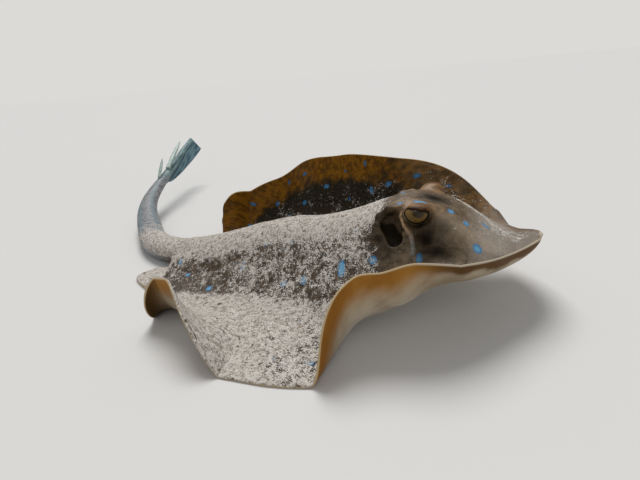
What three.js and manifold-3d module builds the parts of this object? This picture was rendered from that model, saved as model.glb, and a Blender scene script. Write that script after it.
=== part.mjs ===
// A bluespotted ribbontail ray, life size, at rest with its head and left fin lifted.
// Millimetres; +X towards the snout, +Y the animal's left, +Z up, the floor at Z = 0.
// The disc is drawn flat first, as an outline and a thickness, then bent: the spine lifts the head, and each
// fin curls up or down across its width by an angle that changes along the body.
// The lengths below are along the flat disc, from its widest place; the origin of the model is under the middle
// of the belly's flat, at BELLY_X.
import * as THREE from "three";
import Module from "manifold-3d";

// ---------- driving dimensions ----------
const SNOUT_X = 163, // front end of the disc, before it is bent
  REAR_X = -152, // rear end of the disc
  WIDEST_X = 0,
  BELLY_X = -100, // middle of the belly's flat
  HALF_WIDTH = 140,
  FRONT_ROUND = 1.9, // powers of the outline's front and rear halves
  FRONT_POINT = 0.72,
  TIP_BLUNT = 0.1, // taken off FRONT_POINT over the last of the snout, which blunts its tip
  TIP_FROM = 140,
  REAR_ROUND = 3.54,
  REAR_POINT = 0.485,
  EDGE = 1.6, // thickness of the fin's margin
  SINK = 1.5, // how deep the underside would sink in the floor before it is pressed flat
  GAP = 0.3; // clearance between neighbouring pieces
const FIN_DEPTH = 8; // heights well under this are square to the skin
const HEAD_FROM = 61, // x where the trunk ends and the head begins
  SNOUT_FROM = 135, // x where the head ends and the snout begins
  BODY_HALF = 46; // half-width of the thick body, from where the fins are separate pieces
const EYE = { x: 92, y: 27, h: 41.5, r: 9.6, high: 7.5 }; // its middle on the flat disc, and its two radii
// The dome of the back, each [rise, x from, to]: up at the rear and towards the middle, down to the snout.
const TALL = [[24, -200, -120], [26.4, -150, -10], [-49.4, 78, 164]];
const DOME_HALF = 26; // half-width of the dome at the rear, and how it changes, as above
const DOME_WIDENS = [[22, -150, 0], [-4, 40, 120]];
const DOME_ROUND = 2.3;
const FIN_ROOT = 6.5; // thickness of a fin where it leaves the dome
const BROW = { x: 90, y: 22, rise: 4, long: 21, wide: 11 }; // the swelling that carries the eye
const HOLLOW = { x: 98, y: 0, rise: -2, long: 11, wide: 11 }; // the dip between the eyes
const CANTHUS = { y: 26, rise: 1.5, wide: 7, from: 92, to: 140 }; // a low ridge from the eye to the snout
const RUMP = { x: -152, y: 3, rise: 8, long: 15, wide: 12 }; // where the tail leaves the body
// A lobe between these distances from the midline, this far behind the disc's rear edge.
const PELVIC = { from: 17, to: 56, length: 27, root: 5, behind: 1.3 };
const TAIL = { length: 405, x: -151, y: 3 }; // its root is at x, y
// [along the tail, half-width or half-height there]
const TAIL_HALF_WIDE = [[0, 16], [50, 14.5], [120, 13], [180, 10], [240, 7.5], [300, 5.5], [405, 1.8]];
const TAIL_HALF_HIGH = [[0, 12], [50, 11.5], [120, 10.5], [180, 8.5], [240, 6.5], [300, 4.8], [405, 1.8]];
const TAIL_TURN = [[44, -30, 100], [25, 113, 228]]; // degrees to the animal's left, from and to along the tail
const TAIL_CLIMB = [[12.4, 53, 158]];
const TAIL_TWIST = [[-30, 120, 260]]; // the tail's back turns outwards
const TAIL_CUTS = [3, 130, 270]; // where its three pieces begin
// The skin fold under the rear of the tail; grow is the power by which it deepens towards its end.
const FOLD = { from: 252, deep: 19, thick: 1.4, grow: 0.55 };
// A sting leans to one side of the tail's back and spreads from the tail, in degrees; half is half its width.
const STINGS = [
  { name: "sting_long", at: 268, length: 66, spread: 14.5, side: -45, half: 2.9 },
  { name: "sting_short", at: 237, length: 35, spread: 24, side: -22, half: 2 },
];

// Bends, each [degrees, x where it starts, x where it is full, x where it fades, x where it has gone].
const SPINE = [
  [20.6, -48, 67, 400, 401],
  [-12.7, 68, 115, 400, 401],
  [37, 122, 176, 400, 401],
];
// A fin bends from its root outwards: first by the inner angles, over innerOver of its width, then by the outer
// ones, from outerFrom on. Its rear corner is swept back. Its margin is moved forwards in places, each
// [distance, x of the middle, half-length, across from, to, fades, gone].
const RIGHT_FIN = {
  root: 36,
  innerOver: 0.4,
  outerFrom: 0.15,
  sweep: -17.6,
  inner: [[-15, -30, 0, 35, 65], [-12, 50, 70, 80, 100], [23, 80, 115, 300, 301], [-6, -140, -100, -70, -40]],
  outer: [[82, 38, 74, 75, 115], [52, 75, 115, 300, 301], [80.5, -136, -94, -75, -18]],
  moved: [[8, -33, 18, 90, 135, 400, 401], [8, -130, 16, 78, 100, 400, 401]],
};
const LEFT_FIN = {
  root: 32,
  innerOver: 0.35,
  outerFrom: 0.2,
  sweep: 6.5,
  inner: [[31, -151.5, -138, 74, 169.5], [46, -90, -30, 74, 139], [34, -142, -131, -127, -113]],
  outer: [
    [91.5, -151.5, -138, 84, 172],
    [-24, -90, -30, 84, 145],
    [-46, 131, 140, 300, 301],
    [-15, -142, -131, -127, -113],
    [-10, -124, -112, -90, -50],
  ],
  moved: [[9, -152, 14, 30, 50, 80, 96]],
};
const SWEPT = { yFrom: 34, yTo: 84, xFrom: -60, xTo: -140 }; // where the sweep sets in, across and along

// ---------- the flat animal ----------
const clamp01 = (t) => Math.min(1, Math.max(0, t));
const smooth = (t) => ((t = clamp01(t)), t * t * (3 - 2 * t));
const ramp = (x, a, b) => smooth((x - a) / (b - a));
const bump = (x, middle, wide) => Math.exp(-(((x - middle) / wide) ** 2));
const rad = (deg) => (deg * Math.PI) / 180;
const rises = (list, x) => list.reduce((sum, [rise, a, b]) => sum + rise * ramp(x, a, b), 0);
const bends = (list, x) =>
  list.reduce((sum, [deg, a, b, c, d]) => sum + deg * ramp(x, a, b) * (1 - ramp(x, c, d)), 0);
const shifts = (list, x, ay) =>
  list.reduce((sum, [far, xm, long, a, b, c, d]) => {
    return sum + far * bump(x, xm, long) * ramp(ay, a, b) * (1 - ramp(ay, c, d));
  }, 0);

function halfWidth(x) {
  const front = clamp01((x - WIDEST_X) / (SNOUT_X - WIDEST_X)),
    rear = clamp01((WIDEST_X - x) / (WIDEST_X - REAR_X));
  if (x < WIDEST_X) return HALF_WIDTH * (1 - rear ** REAR_ROUND) ** REAR_POINT;
  return HALF_WIDTH * (1 - front ** FRONT_ROUND) ** (FRONT_POINT - TIP_BLUNT * ramp(x, TIP_FROM, SNOUT_X));
}

// A thin fin with the body's dome over it, the two swellings that carry the eyes, the dip between them, the
// ridges in front and the root of the tail.
function thickness(x, y) {
  const w = Math.max(halfWidth(x), 0.01),
    ay = Math.abs(y),
    u = clamp01(ay / w);
  const half = DOME_HALF + rises(DOME_WIDENS, x);
  const dome = Math.max(rises(TALL, x) - 6, 0) * Math.exp(-((ay / half) ** DOME_ROUND));
  const fin = FIN_ROOT * (1 - u) ** 0.9 * clamp01(w / 80);
  const brow = BROW.rise * bump(x, BROW.x, BROW.long) * bump(ay, BROW.y, BROW.wide);
  const hollow = HOLLOW.rise * bump(x, HOLLOW.x, HOLLOW.long) * bump(ay, HOLLOW.y, HOLLOW.wide);
  const alongRidge = ramp(x, CANTHUS.from, CANTHUS.from + 12) * (1 - ramp(x, CANTHUS.to - 22, CANTHUS.to));
  const canthus = CANTHUS.rise * bump(ay, CANTHUS.y, CANTHUS.wide) * alongRidge;
  const rump = RUMP.rise * bump(x, RUMP.x, RUMP.long) * bump(y, RUMP.y, RUMP.wide);
  return EDGE + (fin + dome) * smooth((1 - u) / 0.35) + brow + hollow + canthus + rump;
}

// ---------- the bend ----------
const SPINE_STEP = 0.4;
const spine = [];
for (let x = REAR_X - 40, px = x, pz = 0, before = 0; x <= SNOUT_X + 10; x += SPINE_STEP) {
  const angle = rad(bends(SPINE, x));
  if (spine.length) {
    px += Math.cos((angle + before) / 2) * SPINE_STEP;
    pz += Math.sin((angle + before) / 2) * SPINE_STEP;
  }
  spine.push({ px, pz, angle });
  before = angle;
}
function spineAt(x) {
  const f = Math.min(spine.length - 2, Math.max(0, (x - REAR_X + 40) / SPINE_STEP)),
    i = Math.floor(f),
    t = f - i,
    a = spine[i],
    b = spine[i + 1],
    between = (key) => a[key] + (b[key] - a[key]) * t;
  return { px: between("px"), pz: between("pz"), angle: between("angle") };
}
// What would sink under the floor lies flat on it, with a short round-over between.
const onFloor = (z) => (z <= -SINK ? 0 : z >= SINK ? z : (z + SINK) ** 2 / (4 * SINK));

const STEPS = 48; // steps of the integration across a fin
function underside(x, y) {
  const side = y < 0 ? -1 : 1,
    fin = y < 0 ? RIGHT_FIN : LEFT_FIN,
    ay = Math.abs(y),
    w = Math.max(halfWidth(x), 0.1),
    root = Math.min(fin.root, 0.45 * w),
    span = Math.max(ay - root, 0),
    inner = rad(bends(fin.inner, x)),
    outer = rad(bends(fin.outer, x));
  let out = Math.min(ay, root),
    up = 0;
  if (span > 0)
    for (let k = 0; k < STEPS; k++) {
      const q = (span * (k + 0.5)) / STEPS / (w - root),
        a = smooth(q / fin.innerOver),
        b = smooth((q - fin.outerFrom) / (1 - fin.outerFrom)),
        angle = inner * a * (1 - b) + outer * b;
      out += (Math.cos(angle) * span) / STEPS;
      up += (Math.sin(angle) * span) / STEPS;
    }
  const s = spineAt(x),
    swept = fin.sweep * ramp(ay, SWEPT.yFrom, SWEPT.yTo) * (1 - ramp(x, SWEPT.xTo, SWEPT.xFrom)),
    forwards = s.px - up * Math.sin(s.angle) - swept + shifts(fin.moved, x, ay);
  return new THREE.Vector3(forwards, side * out, onFloor(s.pz - SINK + up * Math.cos(s.angle)));
}
// A height over the underside is measured square to the skin in a thin fin, and along the spine's own up where
// the body is thick.
function place(x, y, h) {
  const e = 0.1,
    along = underside(x + e, y).sub(underside(x - e, y)),
    across = underside(x, y + e).sub(underside(x, y - e)),
    square = FIN_DEPTH * (1 - Math.exp(-h / FIN_DEPTH)),
    { angle } = spineAt(x);
  return underside(x, y)
    .addScaledVector(along.cross(across).normalize(), square)
    .addScaledVector(new THREE.Vector3(-Math.sin(angle), 0, Math.cos(angle)), h - square);
}

// ---------- solids ----------
// A closed body from rings of points, all running the same way round, its ends filled from their middles.
function loft(rings) {
  const n = rings[0].length,
    points = rings.flat(),
    faces = [];
  for (let i = 0; i + 1 < rings.length; i++)
    for (let j = 0; j < n; j++) {
      const a = i * n + j,
        b = i * n + ((j + 1) % n);
      faces.push([a, b, b + n], [a, b + n, a + n]);
    }
  const middle = (ring) => ring.reduce((m, p) => m.add(p), new THREE.Vector3()).divideScalar(n);
  const first = points.push(middle(rings[0])) - 1,
    last = points.push(middle(rings[rings.length - 1])) - 1,
    end = (rings.length - 1) * n;
  for (let j = 0; j < n; j++) {
    faces.push([first, (j + 1) % n, j]);
    faces.push([last, end + j, end + ((j + 1) % n)]);
  }
  return geometry(points, faces);
}
// A closed plate: the underside and, a thickness above it, the upper side, for stations along x and across.
function plate(xs, yAt, steps, thick = thickness) {
  const points = [],
    faces = [],
    n = steps + 1;
  for (const x of xs)
    for (let j = 0; j < n; j++) {
      const y = yAt(x, j / steps);
      points.push(underside(x, y), place(x, y, thick(x, y)));
    }
  const low = (i, j) => 2 * (i * n + j),
    top = (i, j) => low(i, j) + 1,
    quad = (a, b, c, d) => faces.push([a, b, c], [a, c, d]);
  const m = xs.length - 1;
  for (let i = 0; i < m; i++) {
    for (let j = 0; j < steps; j++) {
      quad(top(i, j), top(i + 1, j), top(i + 1, j + 1), top(i, j + 1));
      quad(low(i, j), low(i, j + 1), low(i + 1, j + 1), low(i + 1, j));
    }
    quad(low(i, 0), low(i + 1, 0), top(i + 1, 0), top(i, 0));
    quad(low(i, steps), top(i, steps), top(i + 1, steps), low(i + 1, steps));
  }
  for (let j = 0; j < steps; j++) {
    quad(low(0, j + 1), low(0, j), top(0, j), top(0, j + 1));
    quad(low(m, j), low(m, j + 1), top(m, j + 1), top(m, j));
  }
  return geometry(points, faces);
}
function geometry(points, faces) {
  const position = new THREE.Float32BufferAttribute(points.flatMap((p) => [p.x, p.y, p.z]), 3);
  return new THREE.BufferGeometry().setAttribute("position", position).setIndex(faces.flat());
}

const wasm = await Module();
wasm.setup();
function solid(g) {
  const vertProperties = new Float32Array(g.attributes.position.array),
    triVerts = new Uint32Array(g.index.array);
  return new wasm.Manifold(new wasm.Mesh({ numProp: 3, vertProperties, triVerts }));
}
function fromSolid(s) {
  const m = s.getMesh();
  return new THREE.BufferGeometry()
    .setAttribute("position", new THREE.Float32BufferAttribute(m.vertProperties, 3))
    .setIndex([...m.triVerts]);
}

const group = new THREE.Group(),
  animal = new THREE.Group();
group.name = "stingray";
animal.position.x = -BELLY_X;
group.add(animal);
function add(name, g, color) {
  g.computeVertexNormals();
  const mesh = new THREE.Mesh(g, new THREE.MeshStandardMaterial({ color, roughness: 0.6 }));
  mesh.name = name;
  animal.add(mesh);
}
const SKIN = 0x9a8468,
  FIN = 0xa98a4e,
  TAIL_GREY = 0xb9b4b8,
  FOLD_BLUE = 0x7fa0a4,
  IVORY = 0xd9d6c2,
  GOLD = 0xc99a2e;

// ---------- disc ----------
// Stations along the disc, closer where it bends more.
const rearStations = [
  -151.5, -150, -147, -143, -138, -132, -126, -119, -111, -103, -95, -87, -79, -71, -63, -55, -47, -39, -31,
  -23, -14, -4, 6, 16, 25, 32, 37.5, 42, 46.5, 51, 56, HEAD_FROM,
];
const frontStations = [66, 71, 75.5, 80, 84, 88, 92, 96, 100, 104.5, 109, 114, 119, 124.5, 130, SNOUT_FROM];
const bodyHalf = (x) => Math.min(BODY_HALF, 0.55 * halfWidth(x));
const acrossBody = (x, t) => (2 * t - 1) * bodyHalf(x);
const acrossFin = (side) => (x, t) => {
  const a = bodyHalf(x) + GAP,
    b = halfWidth(x);
  return side * (side > 0 ? a + (b - a) * t : b + (a - b) * t);
};

add("trunk", plate(rearStations, acrossBody, 10), SKIN);

const eyes = [1, -1].map((side) => place(EYE.x, side * EYE.y, EYE.h));
let head = solid(plate([HEAD_FROM + GAP, ...frontStations], acrossBody, 14));
const pitch = spineAt(EYE.x).angle;
for (const c of eyes) {
  const room = wasm.Manifold.sphere(EYE.r + GAP, 20).scale([1, 1, (EYE.high + GAP) / (EYE.r + GAP)]);
  head = head.subtract(room.rotate([0, (-pitch * 180) / Math.PI, 0]).translate([c.x, c.y, c.z]));
}
add("head", fromSolid(head), SKIN);
eyes.forEach((c, i) => {
  const ball = new THREE.IcosahedronGeometry(EYE.r, 3);
  ball.scale(1, 1, EYE.high / EYE.r);
  ball.rotateY(-pitch);
  ball.translate(c.x, c.y, c.z);
  add(i ? "eye_right" : "eye_left", welded(ball), GOLD);
});
function welded(g) {
  const seen = new Map(),
    points = [],
    index = [];
  const p = g.attributes.position;
  for (let i = 0; i < p.count; i++) {
    const v = new THREE.Vector3().fromBufferAttribute(p, i),
      key = v.toArray().map((c) => c.toFixed(3)).join();
    if (!seen.has(key)) seen.set(key, points.push(v) - 1);
    index.push(seen.get(key));
  }
  const faces = [];
  for (let i = 0; i < index.length; i += 3) faces.push(index.slice(i, i + 3));
  return geometry(points, faces);
}

const snoutStations = [SNOUT_FROM + 3 * GAP, 140, 145, 149.5, 153.5, 157, 159.5, 161.3, 162.5];
add("snout", plate(snoutStations, (x, t) => (2 * t - 1) * halfWidth(x), 12), SKIN);
add("pectoral_fin_left", plate([...rearStations, ...frontStations], acrossFin(1), 9), FIN);
add("pectoral_fin_right", plate([...rearStations, ...frontStations], acrossFin(-1), 9), FIN);

// ---------- pelvic fins: a short lobe behind the disc on each side of the tail ----------
function pelvic(side) {
  const rows = [],
    n = 8,
    m = 5;
  for (let j = 0; j <= n; j++) {
    const t = side > 0 ? j / n : 1 - j / n,
      y = PELVIC.from + (PELVIC.to - PELVIC.from) * t,
      rear = (1 - (y / HALF_WIDTH) ** (1 / REAR_POINT)) ** (1 / REAR_ROUND),
      front = WIDEST_X - (WIDEST_X - REAR_X) * rear - PELVIC.behind,
      reach = PELVIC.length * (0.12 + 0.88 * Math.sin(Math.PI * clamp01(0.08 + 0.86 * (1 - t))) ** 0.8);
    rows.push({ y: side * y, front, reach });
  }
  const points = [],
    faces = [];
  for (let i = 0; i <= m; i++)
    for (const r of rows) {
      const s = i / m,
        x = r.front - r.reach * (1 - s),
        thick = EDGE + (PELVIC.root - EDGE) * s * 0.8 * (1 - Math.abs(r.y) / 90);
      const p = underside(x, r.y);
      points.push(p, new THREE.Vector3(p.x, p.y, p.z + thick));
    }
  const k = rows.length,
    low = (i, j) => 2 * (i * k + j),
    top = (i, j) => low(i, j) + 1,
    quad = (a, b, c, d) => faces.push([a, b, c], [a, c, d]);
  for (let i = 0; i < m; i++) {
    for (let j = 0; j < n; j++) {
      quad(top(i, j), top(i + 1, j), top(i + 1, j + 1), top(i, j + 1));
      quad(low(i, j), low(i, j + 1), low(i + 1, j + 1), low(i + 1, j));
    }
    quad(low(i, 0), low(i + 1, 0), top(i + 1, 0), top(i, 0));
    quad(low(i + 1, n), low(i, n), top(i, n), top(i + 1, n));
  }
  for (let j = 0; j < n; j++) {
    quad(low(0, j + 1), low(0, j), top(0, j), top(0, j + 1));
    quad(low(m, j), low(m, j + 1), top(m, j + 1), top(m, j));
  }
  return geometry(points, faces);
}
add("pelvic_fin_left", pelvic(1), FIN);
add("pelvic_fin_right", pelvic(-1), FIN);

// ---------- tail ----------
function taper(s, list) {
  const i = Math.max(1, list.findIndex(([at]) => s <= at)),
    [from, a] = list[i - 1],
    [to, b] = list[i];
  return a + ((b - a) * (s - from)) / (to - from);
}
const tailHalfWide = (s) => taper(s, TAIL_HALF_WIDE);
const tailHalfHigh = (s) => taper(s, TAIL_HALF_HIGH);
const TAIL_STEP = 0.5;
const tailLine = [];
{
  const p = new THREE.Vector3(TAIL.x, TAIL.y, 0);
  let rise = 0;
  for (let s = 0; s <= TAIL.length + TAIL_STEP; s += TAIL_STEP) {
    const turn = rad(rises(TAIL_TURN, s)),
      climb = rad(rises(TAIL_CLIMB, s)),
      level = Math.cos(climb),
      along = new THREE.Vector3(-Math.cos(turn) * level, Math.sin(turn) * level, Math.sin(climb));
    const side = new THREE.Vector3(0, 0, 1).cross(along).normalize(),
      back = along.clone().cross(side),
      twist = rad(rises(TAIL_TWIST, s)),
      across = side.clone().multiplyScalar(Math.cos(twist)).addScaledVector(back, Math.sin(twist)),
      up = back.clone().multiplyScalar(Math.cos(twist)).addScaledVector(side, -Math.sin(twist)),
      centre = p.clone();
    centre.z = rise + tailHalfHigh(Math.min(s, 120)) - SINK * (1 - ramp(s, 80, 160));
    tailLine.push({ centre, along, across, up });
    p.addScaledVector(new THREE.Vector3(along.x, along.y, 0), TAIL_STEP);
    rise += along.z * TAIL_STEP;
  }
}
const tailAt = (s) => tailLine[Math.round(Math.min(s, TAIL.length) / TAIL_STEP)];
function tailRing(s, n) {
  const { centre, across, up } = tailAt(s),
    a = tailHalfWide(s),
    b = tailHalfHigh(s);
  return Array.from({ length: n }, (_, i) => {
    const t = (2 * Math.PI * (i + 0.5)) / n,
      p = centre.clone().addScaledVector(across, a * Math.cos(t)).addScaledVector(up, b * Math.sin(t));
    p.z = onFloor(p.z);
    return p;
  });
}
function tailPiece(from, to, steps, n) {
  const rings = [];
  for (let i = 0; i <= steps; i++) rings.push(tailRing(from + ((to - from) * i) / steps, n));
  return loft(rings);
}
add("tail_base", tailPiece(TAIL_CUTS[0], TAIL_CUTS[1], 12, 16), TAIL_GREY);
add("tail_mid", tailPiece(TAIL_CUTS[1] + 2 * GAP, TAIL_CUTS[2], 12, 14), TAIL_GREY);
add("tail_tip", tailPiece(TAIL_CUTS[2] + 2 * GAP, TAIL.length, 12, 10), TAIL_GREY);

// A plate under the tail that grows deeper towards its end.
function tailFold() {
  const rings = [],
    steps = 14,
    start = FOLD.from + 4,
    half = FOLD.thick / 2;
  for (let i = 0; i <= steps; i++) {
    const s = start + ((TAIL.length - start) * i) / steps,
      { centre, across, up } = tailAt(s),
      top = tailHalfHigh(s) + GAP + 0.2,
      deep = top + 1 + FOLD.deep * clamp01((s - FOLD.from) / (TAIL.length - 10 - FOLD.from)) ** FOLD.grow,
      middle = (top + deep) / 2,
      edge = half * 0.8,
      section = [[-half, top], [-half, middle], [-edge, deep], [edge, deep], [half, middle], [half, top]];
    rings.push(section.map(([c, d]) => centre.clone().addScaledVector(across, c).addScaledVector(up, -d)));
  }
  return loft(rings);
}
add("tail_fold", tailFold(), FOLD_BLUE);

// ---------- stings: flat blades with blunt points ----------
const BLUNT = 0.4; // half-width of a sting's point
const FLATNESS = 0.6;
for (const sting of STINGS) {
  const { centre, along, across, up } = tailAt(sting.at),
    lean = rad(sting.side),
    spread = rad(sting.spread),
    out = up.clone().multiplyScalar(Math.cos(lean)).addScaledVector(across, Math.sin(lean)),
    wide = along.clone().cross(out).normalize(),
    dir = along.clone().multiplyScalar(Math.cos(spread)).addScaledVector(out, Math.sin(spread)),
    skin = 1 / Math.hypot(Math.sin(lean) / tailHalfWide(sting.at), Math.cos(lean) / tailHalfHigh(sting.at)),
    base = centre.clone().addScaledVector(out, skin + GAP + FLATNESS * (BLUNT + sting.half));
  const rings = [];
  for (let i = 0; i <= 8; i++) {
    const t = i / 8,
      r = BLUNT + sting.half * (1 - t ** 3) ** 0.7,
      c = base.clone().addScaledVector(dir, sting.length * t);
    rings.push(Array.from({ length: 8 }, (_, j) => {
      const a = (-2 * Math.PI * j) / 8;
      return c.clone().addScaledVector(wide, r * Math.cos(a)).addScaledVector(out, r * FLATNESS * Math.sin(a));
    }));
  }
  add(sting.name, loft(rings), IVORY);
}

export default group;
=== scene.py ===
"""A bluespotted ribbontail ray, life size, at rest with its head and left fin lifted, on a plain floor.

Lengths are in millimetres until a mesh is made. The animal is described flat first: x runs along the
disc towards the snout, y to its left and h is the height over the underside. The flat body is one solid,
written as a distance to its surface; its skin is drawn from that and bent into the pose, as in the CAD.
"""
import functools
import itertools
import math
import types

import bpy
import numpy as np
from mathutils import Matrix, Vector


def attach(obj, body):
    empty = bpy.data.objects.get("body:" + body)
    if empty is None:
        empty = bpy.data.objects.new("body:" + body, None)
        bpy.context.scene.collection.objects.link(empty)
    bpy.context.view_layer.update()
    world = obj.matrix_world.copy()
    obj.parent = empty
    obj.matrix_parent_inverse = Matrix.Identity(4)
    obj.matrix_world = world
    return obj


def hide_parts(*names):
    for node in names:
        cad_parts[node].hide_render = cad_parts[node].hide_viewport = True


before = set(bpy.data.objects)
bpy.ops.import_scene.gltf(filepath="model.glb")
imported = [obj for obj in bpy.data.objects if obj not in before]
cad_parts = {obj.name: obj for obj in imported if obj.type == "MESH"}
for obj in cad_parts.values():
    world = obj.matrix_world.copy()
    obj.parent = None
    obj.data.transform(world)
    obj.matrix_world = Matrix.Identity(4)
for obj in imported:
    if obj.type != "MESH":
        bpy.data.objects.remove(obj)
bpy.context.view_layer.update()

# ---------- driving dimensions, as in the CAD model ----------
MM = 0.001
SNOUT_X, REAR_X, WIDEST_X, BELLY_X = 163.0, -152.0, 0.0, -100.0
HALF_WIDTH = 140.0
FRONT_ROUND, FRONT_POINT, TIP_BLUNT, TIP_FROM = 1.9, 0.72, 0.1, 140.0
REAR_ROUND, REAR_POINT = 3.54, 0.485
EDGE = 1.6
SINK = 1.5
FIN_DEPTH = 8.0
# The dome of the back: its rises along x and how far it reaches across.
TALL = [(24, -200, -120), (26.4, -150, -10), (-49.4, 78, 164)]
DOME_HALF, DOME_WIDENS, DOME_ROUND = 26.0, [(22, -150, 0), (-4, 40, 120)], 2.3
FIN_ROOT = 6.5
EYE_X, EYE_Y, EYE_H, EYE_R, EYE_HIGH = 92.0, 27.0, 41.5, 9.6, 7.5
# Mounds of the upper side, each its rise, x, length, distance from the midline and width.
BROW, HOLLOW, RUMP = (4.0, 90, 21, 22, 11), (-2.0, 98, 11, 0, 11), (8.0, -152, 15, 0, 12)
CANTHUS_Y, CANTHUS_RISE, CANTHUS_WIDE, CANTHUS_FROM, CANTHUS_TO = 26.0, 1.5, 7.0, 92.0, 140.0
PELVIC_FROM, PELVIC_TO, PELVIC_LENGTH = 17.0, 56.0, 27.0
TAIL_X, TAIL_Y, TAIL_LENGTH = -151.0, 3.0, 405.0
# Places along the tail with its half-width and half-height there; the first lies inside the body.
TAIL_STATIONS = (-45, 0, 50, 120, 180, 240, 300, 405)
TAIL_HALF_WIDE = (9, 16, 14.5, 13, 10, 7.5, 5.5, 1.8)
TAIL_HALF_HIGH = (6, 12, 11.5, 10.5, 8.5, 6.5, 4.8, 1.8)
TAIL_TURN = [(44, -30, 100), (25, 113, 228)]
TAIL_CLIMB = [(12.4, 53, 158)]
TAIL_TWIST = [(-30, 120, 260)]
FOLD_FROM, FOLD_DEEP, FOLD_GROW = 252.0, 19.0, 0.55
# Each is its name, place along the tail, length, spread from it, lean from its back, and half-width.
STINGS = [("sting_long", 268, 66, 14.5, -45, 2.9), ("sting_short", 237, 35, 24, -22, 2.0)]
STING_BLUNT, STING_FLATNESS = 0.4, 0.6
BARB_EVERY, BARB_LONG, BARB_STATIONS = 1.6, 0.4, 6
# Bends, each its degrees and x where it starts and is full, and where it fades and has gone if it does.
SPINE = [(20.6, -48, 67), (-12.7, 68, 115), (37, 122, 176)]
RIGHT_FIN = {
    "root": 36, "inner_over": 0.4, "outer_from": 0.15, "sweep": -17.6,
    "inner": [(-15, -30, 0, 35, 65), (-12, 50, 70, 80, 100), (23, 80, 115), (-6, -140, -100, -70, -40)],
    "outer": [(82, 38, 74, 75, 115), (52, 75, 115), (80.5, -136, -94, -75, -18)],
    "moved": [(8, -33, 18, 90, 135), (8, -130, 16, 78, 100)],
}
LEFT_FIN = {
    "root": 32, "inner_over": 0.35, "outer_from": 0.2, "sweep": 6.5,
    "inner": [(31, -151.5, -138, 74, 169.5), (46, -90, -30, 74, 139), (34, -142, -131, -127, -113)],
    "outer": [
        (91.5, -151.5, -138, 84, 172), (-24, -90, -30, 84, 145), (-46, 131, 140),
        (-15, -142, -131, -127, -113), (-10, -124, -112, -90, -50),
    ],
    "moved": [(9, -152, 14, 30, 50, 80, 96)],
}
SWEPT_ACROSS, SWEPT_ALONG = (34, 84), (-140, -60)  # where the sweep of the fins' rear corners sets in


# ---------- small sums ----------
def smooth(t):
    t = np.clip(t, 0, 1)
    return t * t * (3 - 2 * t)


def ramp(x, a, b):
    return smooth((x - a) / (b - a))


def fall(x, a, b):
    return 1 - ramp(x, a, b)


def bump(x, centre, width):
    return np.exp(-(((x - centre) / width) ** 2))


def mound(x, y, height, at_x, long, at_y, wide):
    return height * bump(x, at_x, long) * bump(y, at_y, wide)


def rises(items, x):
    """What the listed rises add up to at x: each has its size, a start and an end, and may fade again."""
    return sum(size * ramp(x, a, b) * (fall(x, *fade) if fade else 1) for size, a, b, *fade in items)


def bends(items, x):
    """Radians that the listed bends add up to at x."""
    return np.radians(rises(items, x))


def shifts(items, x, ay):
    """How far forwards the listed shifts move a fin's skin at x and at ay from the midline."""
    return sum(bump(x, middle, long) * rises([(far, *across)], ay) for far, middle, long, *across in items)


def smooth_min(a, b, k):
    t = np.clip(0.5 + 0.5 * (b - a) / k, 0, 1)
    return b + (a - b) * t - k * t * (1 - t)


def most(*values):
    return functools.reduce(np.maximum, values)


def carve(body, tool, k):
    """The body without the tool, with an edge rounded over k."""
    return -smooth_min(-body, tool, k)


def rounded(q1, q2, radius):
    """Distance to a form with rounded edges, from the distances to its two pairs of sides."""
    return np.minimum(np.maximum(q1, q2), 0) + np.hypot(np.maximum(q1, 0), np.maximum(q2, 0)) - radius


def on_tail(sizes, s):
    """The tail's half-width or half-height at s along it."""
    return np.interp(s, TAIL_STATIONS, sizes)


def unit(v):
    return v / np.linalg.norm(v, axis=-1, keepdims=True)


def length3(a, b, c):
    return np.sqrt(a * a + b * b + c * c)


class Noise:
    """Smooth values from -1 to 1 on a seeded lattice, at a given size in millimetres."""

    CELLS = 48

    def __init__(self, seed, size):
        self.values = np.random.default_rng(seed).uniform(-1, 1, (self.CELLS,) * 3).astype(np.float32)
        self.size = size

    def at(self, p):
        q = np.asarray(p) / self.size
        whole = np.floor(q).astype(int)
        part = smooth(q - whole)
        total = 0
        for corner in itertools.product((0, 1), repeat=3):
            at = (whole + corner) % self.CELLS
            weight = np.where(corner, part, 1 - part).prod(1)
            total = total + weight * self.values[tuple(at.T)]
        return total


# ---------- the flat animal's outline and thickness ----------
def half_width(x):
    """The disc's half-width at x: one curve before its widest place and another behind it."""
    front = np.clip((x - WIDEST_X) / (SNOUT_X - WIDEST_X), 0, 1)
    rear = np.clip((WIDEST_X - x) / (WIDEST_X - REAR_X), 0, 1)
    point = FRONT_POINT - TIP_BLUNT * ramp(x, TIP_FROM, SNOUT_X)
    behind = (1 - rear**REAR_ROUND) ** REAR_POINT
    return HALF_WIDTH * np.where(x >= WIDEST_X, (1 - front**FRONT_ROUND) ** point, behind)


def thickness(x, y):
    """The flat body's height: thin fins, the dome of the back, and the forms of the head."""
    w = np.maximum(half_width(x), 0.01)
    ay = np.abs(y)
    u = np.clip(ay / w, 0, 1)
    half = DOME_HALF + rises(DOME_WIDENS, x)
    dome = np.maximum(rises(TALL, x) - 6, 0) * np.exp(-((ay / half) ** DOME_ROUND))
    fin = FIN_ROOT * (1 - u) ** 0.9 * np.clip(w / 80, 0, 1)
    mounds = mound(x, ay, *BROW) + mound(x, ay, *HOLLOW) + mound(x, y - TAIL_Y, *RUMP)
    along_ridge = ramp(x, CANTHUS_FROM, CANTHUS_FROM + 12) * fall(x, CANTHUS_TO - 22, CANTHUS_TO)
    canthus = CANTHUS_RISE * bump(ay, CANTHUS_Y, CANTHUS_WIDE) * along_ridge
    return EDGE + (fin + dome) * smooth((1 - u) / 0.35) + mounds + canthus


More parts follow.
